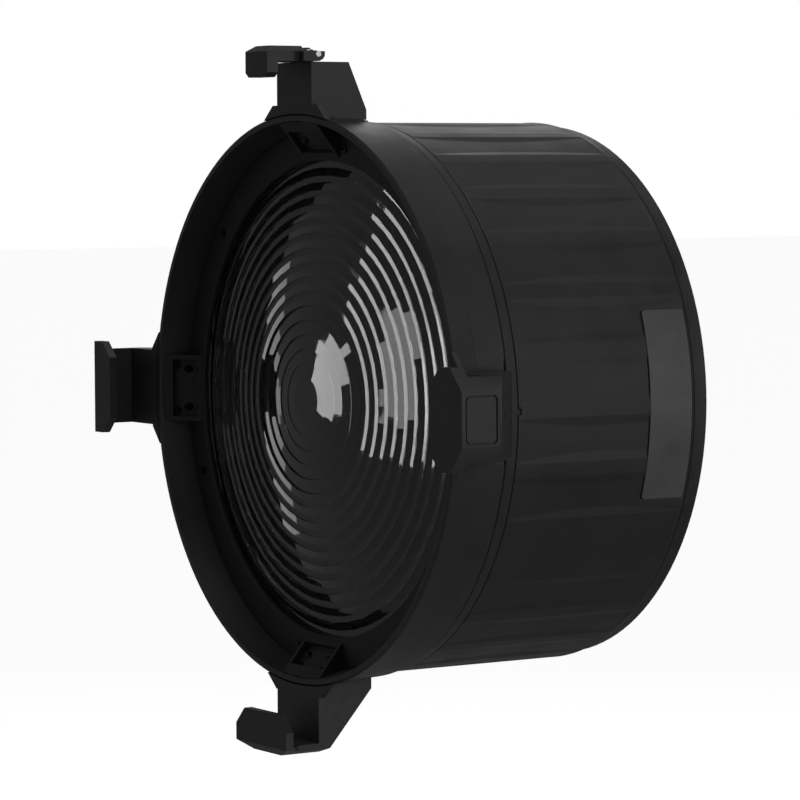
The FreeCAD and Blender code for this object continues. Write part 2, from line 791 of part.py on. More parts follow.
def make_rear():
    body = new_body("rear_cover")
    turned(body, "cover_turn", [
        ("guide_inner + seat_gap", depth("guide_end + run_gap")),
        ("land_radius", depth("guide_end + run_gap")),
        ("land_radius", depth("land_depth")),
        ("cone_radius", depth("land_depth")),
        ("neck_radius", depth("neck_depth")),
        ("neck_radius", depth("body_depth - mount_thick - run_gap")),
        ("throat_radius + throat_relief", depth("body_depth - mount_thick - run_gap")),
        ("throat_radius + throat_relief", depth("body_depth - mount_thick - neck_wall")),
        ("neck_radius - neck_wall", depth("body_depth - mount_thick - neck_wall")),
        ("neck_radius - neck_wall", depth("neck_depth - cone_slant")),
        ("cone_radius - cone_slant", depth("land_depth - cone_wall")),
        ("guide_inner + seat_gap", depth("land_depth - cone_wall")),
    ])
    rib = extruded(body, "cover_rib", "PartDesign::Pad", [[
        (depth("neck_depth - rib_root"), "neck_radius - rib_root"),
        (depth("neck_depth + rib_neck_long"), "neck_radius - rib_root"),
        (depth("neck_depth + rib_neck_long"), "neck_radius + rib_neck_high"),
        (depth("land_depth + wall"), "cone_radius + rib_cone_high"),
        (depth("land_depth - rib_root"), "cone_radius + rib_cone_high"),
        (depth("land_depth - rib_root"), "cone_radius - 2 * rib_root"),
    ]], "YZ_Plane", "wall", midplane=True)
    around_axis(body, "cover_ribs", rib, "rib_count")
    axial_holes(body, "cover_screw_holes", COVER_SCREW_RADIUS, FIRST_COVER_SCREW,
                "guide_end - overcut", "land_depth - guide_end + 2 * overcut", "screw_core")
    axial_holes(body, "cover_head_seats", COVER_SCREW_RADIUS, FIRST_COVER_SCREW,
                "land_depth - cover_head_sink", "cover_head_sink + overcut", "cover_head + head_gap")
    axial_holes(body, "mount_screw_holes", MOUNT_SCREW_RADIUS, FIRST_BAYONET_SCREW,
                "neck_depth + overcut", "body_depth - neck_depth", "screw_core")
    keep(body, "rear_cover")
    axial_group("cover_screws", FIRST_COVER_SCREW, COVER_SCREW_RADIUS,
                "land_depth - cover_head_sink", 1, "cover_head", "screw_shank",
                "land_depth - cover_head_sink - guide_end + wall - turn_gap")


def make_mount():
    """The rear bayonet: a flat ring with three hooked lugs behind it."""
    body = new_body("bayonet_ring")
    turned(body, "bayonet_turn", box_outline("throat_radius", "mount_radius",
                                             "body_depth - mount_thick", "body_depth"))
    lug = turned(body, "bayonet_lug", [
        ("lug_inner", depth("body_depth - overcut")),
        ("hook_inner", depth("body_depth - overcut")),
        ("hook_inner", depth("body_depth + lug_reach")),
        ("lug_outer", depth("body_depth + lug_reach")),
        ("lug_outer", depth("body_depth + lug_reach + hook_thick")),
        ("lug_inner", depth("body_depth + lug_reach + hook_thick")),
    ], angle=DIMENSIONS["lug_angle"])
    lug.setExpression("Angle", bound("lug_angle"))
    around_axis(body, "bayonet_lugs", lug, "lug_count")
    axial_holes(body, "ring_screw_holes", MOUNT_SCREW_RADIUS, FIRST_BAYONET_SCREW,
                "body_depth - mount_thick - overcut", "mount_thick + 2 * overcut", "screw_core")
    axial_holes(body, "ring_head_seats", MOUNT_SCREW_RADIUS, FIRST_BAYONET_SCREW,
                "body_depth - bayonet_head_sink", "bayonet_head_sink + overcut",
                "bayonet_head + head_gap")
    axial_holes(body, "lock_pin_hole", "lug_outer", LOCK_PIN_ANGLE,
                "body_depth - lock_pin_deep", "lock_pin_deep + overcut", "lock_pin_radius", count=1)
    keep(body, "bayonet_ring")
    axial_group("bayonet_screws", FIRST_BAYONET_SCREW, MOUNT_SCREW_RADIUS,
                "body_depth - bayonet_head_sink", 1, "bayonet_head", "screw_shank",
                "mount_thick - bayonet_head_sink + wall")


# ---------------------------------------------------------------- accessory ears

def saddle(body):
    """Cut a piece that stands on the ring to the ring's outer surface."""
    front = depth("-overcut")
    back = depth("ring_depth + 2 * overcut")
    outline = [("0", front), ("rim_radius + run_gap", front)]
    outline += ring_outside("run_gap")
    outline += [("ring_rear_radius + run_gap", back), ("0", back)]
    turned(body, "saddle", outline, kind="PartDesign::Groove")


def boss(body):
    """The flange with sloping flanks that spreads the ear's load into the ring's front edge."""
    extruded(body, "boss", "PartDesign::Pad", [[
        ("-boss_base / 2", "ring_rear_radius - flank_sink"),
        ("boss_base / 2", "ring_rear_radius - flank_sink"),
        ("boss_base / 2", "ring_rear_radius - overcut"),
        ("boss_top / 2", "boss_height"),
        ("-boss_top / 2", "boss_height"),
        ("-boss_base / 2", "ring_rear_radius - overcut"),
    ]], "XZ_Plane", "boss_thick", offset="body_depth", reverse=True)


def bracket_bores(body):
    """Blind holes up from the ring for the four bracket screws."""
    extruded(body, "bracket_bores", "PartDesign::Pocket", [], "XY_Plane",
             "boss_height + bore_spare",
             reverse=True,
             circles=[(t, depth(d), "screw_core") for t, d, seat in BRACKET_HOLES])


BEVEL_RUN_ON = "(1 + 2 * overcut / (lip_width - ear_flat))"


def make_fixed_ear(side, angle):
    """A hook with a front lip, a web over the accessory slot and a braced post."""
    body = new_body("ear_" + side)
    lip_front = depth("-lip_reach")
    lip_back = depth("lip_thick - lip_reach")
    extruded(body, "hook", "PartDesign::Pad", [[
        (lip_front, "lip_tip"),
        (lip_front, "ear_top - bevel_drop"),
        (depth("lip_bevel - lip_reach"), "ear_top"),
        (depth("slope_start"), "ear_top"),
        (depth("ring_depth"), "slope_foot"),
        (depth("ring_depth"), "ring_rear_radius - root_sink"),
        (depth("0"), "ring_rear_radius - root_sink"),
        (depth("0"), "web_inner"),
        (lip_back, "web_inner"),
        (lip_back, "lip_tip"),
    ]], "YZ_Plane", "lip_width", midplane=True)
    side_cut = []
    for sign in ("", "-"):
        side_cut.append([
            ("%s(lip_width / 2 + overcut)" % sign, depth("neck_in_start - lip_reach")),
            ("%slip_width / 2" % sign, depth("neck_in_start - lip_reach")),
            ("%sear_width / 2" % sign, depth("neck_in_end - lip_reach")),
            ("%sear_width / 2" % sign, depth("ring_depth + overcut")),
            ("%s(lip_width / 2 + overcut)" % sign, depth("ring_depth + overcut")),
        ])
    extruded(body, "narrow_sides", "PartDesign::Pocket", side_cut, "XY_Plane",
             "ear_top + overcut", reverse=True)
    bevels = []
    corners = []
    for sign in ("", "-"):
        bevels.append([
            ("%sear_flat / 2" % sign, "ear_top + overcut"),
            ("%sear_flat / 2" % sign, "ear_top"),
            ("%s(lip_width / 2 + overcut)" % sign, "ear_top - bevel_drop * " + BEVEL_RUN_ON),
            ("%s(lip_width / 2 + overcut)" % sign, "ear_top + overcut"),
        ])
        corners.append([
            ("%s(lip_width / 2 - lip_corner)" % sign, "lip_tip - overcut"),
            ("%s(lip_width / 2 - lip_corner)" % sign, "lip_tip"),
            ("%slip_width / 2" % sign, "lip_tip + lip_corner"),
            ("%s(lip_width / 2 + overcut)" % sign, "lip_tip + lip_corner"),
            ("%s(lip_width / 2 + overcut)" % sign, "lip_tip - overcut"),
        ])
    extruded(body, "bevels", "PartDesign::Pocket", bevels, "XZ_Plane",
             "lip_reach + ring_depth + 2 * overcut", offset="body_depth + lip_reach + overcut")
    extruded(body, "lip_corners", "PartDesign::Pocket", corners, "XZ_Plane",
             "lip_thick + 2 * overcut", offset="body_depth + lip_reach + overcut")
    boss(body)
    saddle(body)
    bracket_bores(body)
    extruded(body, "pad_seat", "PartDesign::Pocket", [pad_outline("0")], "XY_Plane",
             "2 * pad_sink", offset="ear_top - pad_sink", reverse=True)
    grub_seat(body)
    keep(body, "ear_" + side)
    spun(body, angle)


def pad_outline(inset):
    """The cover pad on an ear's outer face, with clipped corners."""
    front = "(pad_start - lip_reach + %s)" % inset
    rear = "(slope_start - pad_end - %s)" % inset
    wide = "(pad_half - %s)" % inset
    clip = "pad_clip"
    return [
        ("-%s" % wide, depth(front + " + " + clip)),
        ("-%s + %s" % (wide, clip), depth(front)),
        ("%s - %s" % (wide, clip), depth(front)),
        (wide, depth(front + " + " + clip)),
        (wide, depth(rear + " - " + clip)),
        ("%s - %s" % (wide, clip), depth(rear)),
        ("-%s + %s" % (wide, clip), depth(rear)),
        ("-%s" % wide, depth(rear + " - " + clip)),
    ]


GRUB_SHARE = 0.37  # of the way down the slope
GRUB_DEPTH = "(slope_start + %g * (ring_depth - slope_start))" % GRUB_SHARE
GRUB_HEIGHT = "(ear_top - %g * (ear_top - slope_foot))" % GRUB_SHARE
SLOPE_ANGLE = math.degrees(math.atan2(
    DIMENSIONS["ear_top"] - DIMENSIONS["slope_foot"],
    DIMENSIONS["ring_depth"] - DIMENSIONS["slope_start"]))


def grub_seat(body):
    """A socketed hole square to the rear slope."""
    sketch = add_sketch(body, "grub_outline", "XY_Plane")
    sketch.AttachmentOffset = Placement(Vector(0, 0, 0), Rotation(Vector(1, 0, 0), -SLOPE_ANGLE))
    sketch.setExpression("AttachmentOffset.Base.y", bound(depth(GRUB_DEPTH)))
    sketch.setExpression("AttachmentOffset.Base.z", bound(GRUB_HEIGHT))
    circle(sketch, "0", "0", "grub_radius + run_gap")
    hole = body.newObject("PartDesign::Pocket", "grub_hole")
    hole.Profile = sketch
    hole.setExpression("Length", bound("grub_length + grub_sink + clear_gap"))
    body.Tip = hole


def make_ear_trim():
    """The pads on the three fixed ears and the grub screws in their rear slopes."""
    pads = []
    grubs = []
    for side, angle in FIXED_EARS.items():
        body = new_body("pad_" + side)
        extruded(body, "pad", "PartDesign::Pad", [pad_outline("pad_gap")], "XY_Plane",
                 "pad_thick", offset="ear_top - pad_sink + run_gap")
        spun(body, angle)
        pads.append(body)
        core = cylinder("grub_core_" + side, "grub_radius", "grub_length",
                        "-grub_length - grub_sink")
        socket = doc.addObject("Part::Prism", "grub_socket_" + side)
        socket.Polygon = 6
        socket.setExpression("Circumradius", bound("grub_key"))
        socket.setExpression("Height", bound("2 * grub_sink"))
        socket.setExpression("Placement.Base.z", bound("-2.6 * grub_sink"))
        grub = doc.addObject("Part::Cut", "grub_" + side)
        grub.Base = core
        grub.Tool = socket
        tilt = Rotation(Vector(1, 0, 0), -SLOPE_ANGLE)
        seat = Vector(0, numeric(depth(GRUB_DEPTH)), numeric(GRUB_HEIGHT))
        grub.Placement = Placement(seat, tilt)
        spun(grub, angle)
        grubs.append(grub)
    for label, items in (("ear_pads", pads), ("ear_grub_screws", grubs)):
        group = doc.addObject("Part::Compound", label)
        group.Links = items
        keep(group, label)


def make_top_ear():
    """The post that carries the sprung latch; the hinge lug stands on its top."""
    body = new_body("ear_top")
    extruded(body, "post", "PartDesign::Pad", [[
        (depth("0"), "ring_rear_radius - root_sink"),
        (depth("0"), "post_top"),
        (depth("post_depth"), "post_top"),
        (depth("ring_depth + overcut"), "slope_foot"),
        (depth("ring_depth + overcut"), "ring_rear_radius - root_sink"),
    ]], "YZ_Plane", "post_width", midplane=True)
    extruded(body, "hinge_lug", "PartDesign::Pad", [[
        (depth("hinge_depth - hinge_lug"), "post_top - overcut"),
        (depth("hinge_depth - hinge_lug"), "hinge_radius + hinge_lug_flat"),
        (depth("hinge_depth - hinge_lug_flat"), "hinge_radius + hinge_lug"),
        (depth("hinge_depth + hinge_lug_flat"), "hinge_radius + hinge_lug"),
        (depth("hinge_depth + hinge_lug"), "hinge_radius + hinge_lug_flat"),
        (depth("hinge_depth + hinge_lug"), "post_top - overcut"),
    ]], "YZ_Plane", "2 * lug_half", midplane=True)
    boss(body)
    saddle(body)
    bracket_bores(body)
    extruded(body, "pin_bore", "PartDesign::Pocket", [], "YZ_Plane", "post_width",
             midplane=True, circles=[(depth("hinge_depth"), "hinge_radius", "pin_radius + pin_fit")])
    keep(body, "ear_top")


# ---------------------------------------------------------------- latch on the top ear

def make_latch():
    """The hinged keeper that closes the top of the accessory slots."""
    body = new_body("top_latch")
    lip_front = depth("-lip_reach")
    lip_back = depth("latch_lip - lip_reach")
    under = "post_top + clear_gap"
    extruded(body, "plate", "PartDesign::Pad", [[
        (lip_front, "latch_tip"),
        (lip_front, "latch_top - latch_bevel"),
        (depth("lip_bevel - lip_reach"), "latch_top"),
        (depth("hinge_depth + knuckle_back"), "latch_top"),
        (depth("hinge_depth + knuckle_corner"), "hinge_radius + knuckle_corner"),
        (depth("hinge_depth + knuckle"), "hinge_radius + knuckle_flat"),
        (depth("hinge_depth + knuckle"), "hinge_radius - knuckle_flat"),
        (depth("hinge_depth + knuckle_corner"), "hinge_radius - knuckle_corner"),
        (depth("hinge_depth + knuckle_back"), under),
        (lip_back, under),
        (lip_back, "latch_tip"),
    ]], "YZ_Plane", "post_width", midplane=True)
    cuts = []
    corners = []
    bevels = []
    for sign in ("", "-"):
        cuts.append([
            ("%slatch_width / 2" % sign, depth("-lip_reach - overcut")),
            ("%slatch_width / 2" % sign, depth("-latch_shoulder - shoulder_slant")),
            ("%s(latch_width / 2 + shoulder_slant)" % sign, depth("-latch_shoulder")),
            ("%s(post_width / 2 + overcut)" % sign, depth("-latch_shoulder")),
            ("%s(post_width / 2 + overcut)" % sign, depth("-lip_reach - overcut")),
        ])
        corners.append([
            ("%s(latch_width / 2 - latch_bevel)" % sign, "latch_tip - overcut"),
            ("%s(latch_width / 2 - latch_bevel)" % sign, "latch_tip"),
            ("%slatch_width / 2" % sign, "latch_tip + latch_corner"),
            ("%s(latch_width / 2 + overcut)" % sign, "latch_tip + latch_corner"),
            ("%s(latch_width / 2 + overcut)" % sign, "latch_tip - overcut"),
        ])
        bevels.append([
            ("%s(latch_width / 2 - latch_flat_in)" % sign, "latch_top + overcut"),
            ("%s(latch_width / 2 - latch_flat_in)" % sign, "latch_top"),
            ("%slatch_width / 2" % sign, "latch_top - latch_side_drop"),
            ("%s(post_width / 2 + overcut)" % sign, "latch_top - latch_side_drop - clear_gap"),
            ("%s(post_width / 2 + overcut)" % sign, "latch_top + overcut"),
        ])
    extruded(body, "neck_sides", "PartDesign::Pocket", cuts, "XY_Plane",
             "latch_top + overcut", reverse=True)
    extruded(body, "lip_corners", "PartDesign::Pocket", corners, "XZ_Plane",
             "latch_lip + 2 * overcut", offset="body_depth + lip_reach + overcut")
    extruded(body, "bevels", "PartDesign::Pocket", bevels, "XZ_Plane",
             "lip_reach + ring_depth", offset="body_depth + lip_reach + overcut")
    extruded(body, "lug_notch", "PartDesign::Pocket", [[
        ("-lug_half - clear_gap", depth("hinge_depth - notch_front")),
        ("lug_half + notch_front", depth("hinge_depth - notch_front")),
        ("lug_half + notch_front", depth("hinge_depth + notch_back")),
        ("-lug_half - clear_gap", depth("hinge_depth + notch_back")),
    ]], "XY_Plane", "latch_top + overcut", reverse=True)
    extruded(body, "pin_bore", "PartDesign::Pocket", [], "YZ_Plane",
             "post_width + 2 * overcut", midplane=True,
             circles=[(depth("hinge_depth"), "hinge_radius", "pin_radius + run_gap")])
    keep(body, "top_latch")
    pin = cylinder("latch_pin", "pin_radius", "post_width", "0")
    pin.Placement.Rotation = Rotation(Vector(0, 1, 0), 90.0)
    pin.setExpression("Placement.Base.x", bound("-post_width / 2"))
    pin.setExpression("Placement.Base.y", bound(depth("hinge_depth")))
    pin.setExpression("Placement.Base.z", bound("hinge_radius"))
    keep(pin, "latch_pin")


def make_latch_spring():
    """The torsion spring round the hinge pin, beside the lug."""
    turns = doc.addObject("Part::Helix", "spring_path")
    turns.setExpression("Pitch", bound("spring_pitch"))
    turns.setExpression("Height", bound("spring_length"))
    turns.setExpression("Radius", bound("pin_radius + spring_stand_off"))
    section = doc.addObject("Part::Circle", "spring_section")
    section.setExpression("Radius", bound("spring_wire"))
    section.setExpression("Placement.Base.x", bound("pin_radius + spring_stand_off"))
    section.Placement.Rotation = Rotation(Vector(1, 0, 0), 90.0)
    coil = doc.addObject("Part::Sweep", "spring_coil")
    coil.Sections = [section]
    coil.Spine = (turns, ["Edge1"])
    coil.Solid = True
    coil.Frenet = True
    placed = doc.addObject("Part::Compound", "latch_spring")
    placed.Links = [coil]
    placed.Placement.Rotation = Rotation(Vector(0, 1, 0), 90.0)
    placed.setExpression("Placement.Base.x", bound("lug_half + spring_stand_off"))
    placed.setExpression("Placement.Base.y", bound(depth("hinge_depth")))
    placed.setExpression("Placement.Base.z", bound("hinge_radius"))
    keep(placed, "latch_spring")


# ---------------------------------------------------------------- wedge brackets in the hood

POCKET_FROM = 0.27  # shares of the way down the bracket's slope
POCKET_TO = 0.86


def make_bracket(side, angle):
    """A wedge with a pocketed sloping face that ties an ear through the ring's wall."""
    body = new_body("inner_bracket_" + side)
    foot_depth = "bracket_start"
    foot_height = "(hood_radius + bracket_foot)"
    rear_depth = "(hood_depth - seat_gap)"
    extruded(body, "wedge", "PartDesign::Pad", [[
        (depth(foot_depth), foot_height),
        (depth(rear_depth), "bracket_inner"),
        (depth(rear_depth), foot_height),
    ]], "YZ_Plane", "bracket_width", midplane=True)

    def on_slope(share, along, down):
        """A point a share of the way down the slope, moved back and up by lengths."""
        across = "%s + %g * (%s - %s) + %s" % (foot_depth, share, rear_depth, foot_depth, along)
        height = "%s - %g * (%s - bracket_inner) + %s" % (foot_height, share, foot_height, down)
        return (depth("(%s)" % across), height)

    extruded(body, "pocket", "PartDesign::Pocket", [[
        on_slope(POCKET_FROM, "-wall", "-wall"),
        on_slope(POCKET_TO, "-wall", "-wall"),
        on_slope(POCKET_TO, "pocket_along", "pocket_down"),
        on_slope(POCKET_FROM, "pocket_along", "pocket_down"),
    ]], "YZ_Plane", "bracket_width - 2 * bracket_rib", midplane=True)
    turned(body, "hood_fit", [
        ("rim_radius - rim_wall - seat_gap", depth("0")),
        ("hood_radius - seat_gap", depth("hood_depth")),
        ("rim_radius + overcut", depth("hood_depth")),
        ("rim_radius + overcut", depth("0")),
    ], kind="PartDesign::Groove")
    bores = [(t, depth(d), "screw_core") for t, d, seat in BRACKET_HOLES]
    extruded(body, "screw_bores", "PartDesign::Pocket", [], "XY_Plane", "rim_radius",
             reverse=True, circles=bores)
    for row in ("front", "rear"):
        heads = [(t, depth(d), "bracket_head + head_gap") for t, d, seat in BRACKET_HOLES
                 if d.startswith(row)]
        extruded(body, row + "_head_seats", "PartDesign::Pocket", [], "XY_Plane",
                 row + "_screw_seat", reverse=True, circles=heads)
    keep(body, "inner_bracket_" + side)
    spun(body, angle)


def make_bracket_screws():
    """Four screws in each bracket, through the ring's wall into the ear."""
    items = []
    for side, angle in EAR_ANGLES.items():
        for i, (across, along, seat) in enumerate(BRACKET_HOLES):
            item = screw("bracket_screw_%s_%d" % (side, i), "bracket_head",
                         "bracket_head_height", "screw_shank", "boss_height + 3 - " + seat)
            item.Placement = Placement(
                Vector(numeric(across), numeric(depth(along)), numeric(seat)),
                Rotation(Vector(1, 0, 0), 180.0))
            spun(item, angle)
            items.append(item)
    group = doc.addObject("Part::Compound", "bracket_screws")
    group.Links = items
    keep(group, "bracket_screws")


make_front_ring()
make_lens()
make_lens_holders()
make_carriage()
make_guide()
make_followers()
sleeve = make_sleeve()
make_label_pocket(sleeve)
make_cam_grooves(sleeve)
make_label()
make_rear()
make_mount()
for ear_side, ear_angle in FIXED_EARS.items():
    make_fixed_ear(ear_side, ear_angle)
make_ear_trim()
make_top_ear()
make_latch()
make_latch_spring()
for ear_side, ear_angle in EAR_ANGLES.items():
    make_bracket(ear_side, ear_angle)
make_bracket_screws()
doc.recompute()

for item in doc.Objects:
    if "Invalid" in item.State or "Error" in item.State:
        raise RuntimeError("%s is %s" % (item.Name, item.State))
for item in NODES:
    if item.Shape.isNull() or not item.Shape.isValid():
        raise RuntimeError("%s has no valid shape" % item.Label)
    item.Shape.exportStep(os.path.join("parts", item.Label + ".step"))
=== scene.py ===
import json
import math

import bmesh
import bpy
from mathutils import Matrix, Vector


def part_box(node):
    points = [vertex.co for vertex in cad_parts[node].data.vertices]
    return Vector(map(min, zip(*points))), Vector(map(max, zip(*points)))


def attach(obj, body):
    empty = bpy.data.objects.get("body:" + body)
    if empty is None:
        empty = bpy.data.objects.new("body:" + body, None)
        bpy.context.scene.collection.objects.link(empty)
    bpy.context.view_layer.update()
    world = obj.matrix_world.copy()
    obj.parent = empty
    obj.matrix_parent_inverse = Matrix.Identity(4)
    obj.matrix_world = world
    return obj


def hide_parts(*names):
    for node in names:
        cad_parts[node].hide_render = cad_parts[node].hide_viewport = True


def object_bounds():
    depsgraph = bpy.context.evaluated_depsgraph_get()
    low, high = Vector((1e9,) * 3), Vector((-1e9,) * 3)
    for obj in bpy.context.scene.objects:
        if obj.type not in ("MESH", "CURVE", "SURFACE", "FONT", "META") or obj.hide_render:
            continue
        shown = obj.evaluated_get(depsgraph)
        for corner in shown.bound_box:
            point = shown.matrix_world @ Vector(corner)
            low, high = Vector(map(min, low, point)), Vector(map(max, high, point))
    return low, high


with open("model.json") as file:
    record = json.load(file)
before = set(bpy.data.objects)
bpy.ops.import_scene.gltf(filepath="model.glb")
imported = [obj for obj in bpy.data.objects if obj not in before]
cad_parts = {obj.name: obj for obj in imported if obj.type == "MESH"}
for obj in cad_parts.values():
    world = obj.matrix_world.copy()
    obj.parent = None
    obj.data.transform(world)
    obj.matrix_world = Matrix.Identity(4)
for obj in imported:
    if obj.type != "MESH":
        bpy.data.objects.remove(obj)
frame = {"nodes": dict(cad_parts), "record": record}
cad_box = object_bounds()

NODES = frame["nodes"]
BODY_OF = {node: body for body, nodes in frame["record"]["behaviour"]["bodies"].items() for node in nodes}
SLOT_OF = {part["node"]: part["material_slot"] for part in frame["record"]["subparts"]}

MM = 0.001
WELD = 0.002 * MM
RING_STEPS = 360
SECTION_ANGLE = 45.0  # degrees, clear of every screw, bracket and slot
STRAIGHT_TURN = 1.0   # degrees; an outline's smaller turns are left out
ROUND_TURN = 3.0      # degrees; an outline's smaller turns stay sharp
ROUND_STEPS = 3
ROUND_SHARE = 0.42    # the most of a side that one corner's arc takes
FLAT_TURN = 0.4       # degrees between facets that count as one face
SHARP_TURN = 22.0     # degrees between faces whose edge gets rounded
BEVEL_STEPS = 2
BEVEL_PROFILE = 0.6

RIM_LOW, RIM_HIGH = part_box("front_ring")
RIM_RADIUS = RIM_HIGH.x
RIM_CENTRE = Vector((0.0, RIM_LOW.y, 0.0))
SLEEVE_LOW, SLEEVE_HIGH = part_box("zoom_sleeve")


# ---------------------------------------------------------------- meshes

def welded(node):
    """A CAD node's mesh with its split corners joined."""
    mesh = bmesh.new()
    mesh.from_mesh(NODES[node].data)
    bmesh.ops.remove_doubles(mesh, verts=mesh.verts, dist=WELD)
    return mesh


def make_piece(node, mesh):
    """Replace a CAD node by a smooth shaded piece that rides on the same body."""
    name = node + "_fine"
    bmesh.ops.recalc_face_normals(mesh, faces=mesh.faces)
    data = bpy.data.meshes.new(name)
    mesh.to_mesh(data)
    mesh.free()
    data.polygons.foreach_set("use_smooth", [True] * len(data.polygons))
    data.materials.append(MATERIALS[SLOT_OF[node]])
    piece = bpy.data.objects.new(name, data)
    bpy.context.scene.collection.objects.link(piece)
    weighted = piece.modifiers.new("even_normals", "WEIGHTED_NORMAL")
    weighted.weight = 100
    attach(piece, BODY_OF[node])
    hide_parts(node)
    return piece


def section(node):
    """A ring's outline, as (radius, y) points, where a half plane through the axis cuts it."""
    turn = math.radians(SECTION_ANGLE)
    outward = Vector((math.cos(turn), 0.0, math.sin(turn)))
    across = Vector((-math.sin(turn), 0.0, math.cos(turn)))
    mesh = welded(node)
    everything = list(mesh.verts) + list(mesh.edges) + list(mesh.faces)
    bmesh.ops.bisect_plane(mesh, geom=everything, plane_co=(0, 0, 0), plane_no=across,
                           clear_inner=True, clear_outer=True)
    bmesh.ops.remove_doubles(mesh, verts=mesh.verts, dist=WELD)
    near = [v for v in mesh.verts if v.co.dot(outward) > 0.0]
    ends = [v for v in near if any(e.other_vert(v).co.dot(outward) <= 0.0 for e in v.link_edges)]
    start = max(ends, key=lambda v: -v.co.y) if ends else near[0]
    path = [start]
    while True:
        following = [
            e.other_vert(path[-1]) for e in path[-1].link_edges
            if e.other_vert(path[-1]) in near and e.other_vert(path[-1]) not in path
        ]
        if not following:
            break
        path.append(following[0])
    points = [(v.co.dot(outward), v.co.y) for v in path]
    mesh.free()
    if ends:
        points = [(0.0, points[0][1])] + points + [(0.0, points[-1][1])]
    return without_straights(points)


def turn_at(before, corner, after):
    """How far, in radians, an outline turns at a corner."""
    first = Vector(corner) - Vector(before)
    second = Vector(after) - Vector(corner)
    if first.length < WELD or second.length < WELD:
        return 0.0
    return first.angle(second)


def without_straights(points):
    """An outline without the points where it doesn't turn."""
    least = math.radians(STRAIGHT_TURN)
    count = len(points)
    return [
        point for i, point in enumerate(points)
        if turn_at(points[i - 1], point, points[(i + 1) % count]) > least
    ]


def rounded(points, radius):
    """An outline with its corners turned into short arcs."""
    result = []
    count = len(points)
    for i, point in enumerate(points):
        corner = Vector(point)
        before = Vector(points[i - 1])
        after = Vector(points[(i + 1) % count])
        turn = turn_at(before, corner, after)
        if corner.x < WELD or turn < math.radians(ROUND_TURN):
            result.append(point)
            continue
        reach = min(radius * math.tan(turn / 2), ROUND_SHARE * (before - corner).length,
                    ROUND_SHARE * (after - corner).length)
        start = corner + (before - corner).normalized() * reach
        end = corner + (after - corner).normalized() * reach
        for step in range(ROUND_STEPS + 1):
            t = step / ROUND_STEPS
            place = start * (1 - t) ** 2 + corner * 2 * t * (1 - t) + end * t ** 2
            result.append((place.x, place.y))
    return result


def on_axis(mesh, radius, y, angle):
    """A new vertex, placed by its radius and its angle from +X about the optical axis."""
    return mesh.verts.new((radius * math.cos(angle), y, radius * math.sin(angle)))


def lathe(outline, steps, lags=None):
    """Turn a closed outline of (radius, y) about the optical axis; a lag is a share of a step."""
    lags = lags or [0.0] * len(outline)
    turn = 2 * math.pi / steps
    mesh = bmesh.new()
    rows = [
        [on_axis(mesh, radius, y, turn * (step + lag)) for (radius, y), lag in zip(outline, lags)]
        for step in range(steps)
    ]
    for row, following in zip(rows, rows[1:] + rows[:1]):
        for i in range(len(outline)):
            j = (i + 1) % len(outline)
            if outline[i][0] > 0.0 or outline[j][0] > 0.0:
                mesh.faces.new((row[i], row[j], following[j], following[i]))
    bmesh.ops.remove_doubles(mesh, verts=mesh.verts, dist=0.1 * WELD)
    return mesh


def softened(node, width):
    """A CAD node's mesh with its facets merged and its sharp edges rounded."""
    mesh = welded(node)
    bmesh.ops.dissolve_limit(mesh, angle_limit=math.radians(FLAT_TURN), verts=mesh.verts,
                             edges=mesh.edges)
    sharp = [
        edge for edge in mesh.edges
        if len(edge.link_faces) == 2 and edge.calc_face_angle(0.0) > math.radians(SHARP_TURN)
    ]
    bmesh.ops.bevel(mesh, geom=sharp, offset=width, offset_type="OFFSET", segments=BEVEL_STEPS,
                    profile=BEVEL_PROFILE, affect="EDGES", clamp_overlap=True)
    return mesh


# ---------------------------------------------------------------- materials

def new_material(name):
    material = bpy.data.materials.new(name)
    material.use_nodes = True
    return material, material.node_tree, material.node_tree.nodes["Principled BSDF"]


def add_node(tree, kind, **inputs):
    node = tree.nodes.new(kind)
    for label, value in inputs.items():
        node.inputs[label.replace("_", " ")].default_value = value
    return node


def noise(tree, scale, detail=3.0, roughness=0.5):
    """Noise over the object's own coordinates, in cycles per metre."""
    place = tree.nodes.new("ShaderNodeTexCoord")
    cloud = add_node(tree, "ShaderNodeTexNoise", Scale=scale, Detail=detail, Roughness=roughness)
    tree.links.new(place.outputs["Object"], cloud.inputs["Vector"])
    return cloud.outputs["Fac"]


def spread(tree, factor, low, high, start=0.3, end=0.7):
    """Map a factor to a range of numbers."""
    mapping = add_node(tree, "ShaderNodeMapRange")
    mapping.inputs["From Min"].default_value = start
    mapping.inputs["From Max"].default_value = end
    mapping.inputs["To Min"].default_value = low
    mapping.inputs["To Max"].default_value = high
    tree.links.new(factor, mapping.inputs["Value"])
    return mapping.outputs["Result"]


def blend_colours(tree, factor, first, second):
    mix = tree.nodes.new("ShaderNodeMix")
    mix.data_type = "RGBA"
    mix.inputs["A"].default_value = (*first, 1.0)
    mix.inputs["B"].default_value = (*second, 1.0)
    tree.links.new(factor, mix.inputs["Factor"])
    return mix


def grain_bump(tree, height, strength, distance):
    bump = add_node(tree, "ShaderNodeBump", Strength=strength, Distance=distance)
    tree.links.new(height, bump.inputs["Height"])
    return bump.outputs["Normal"]


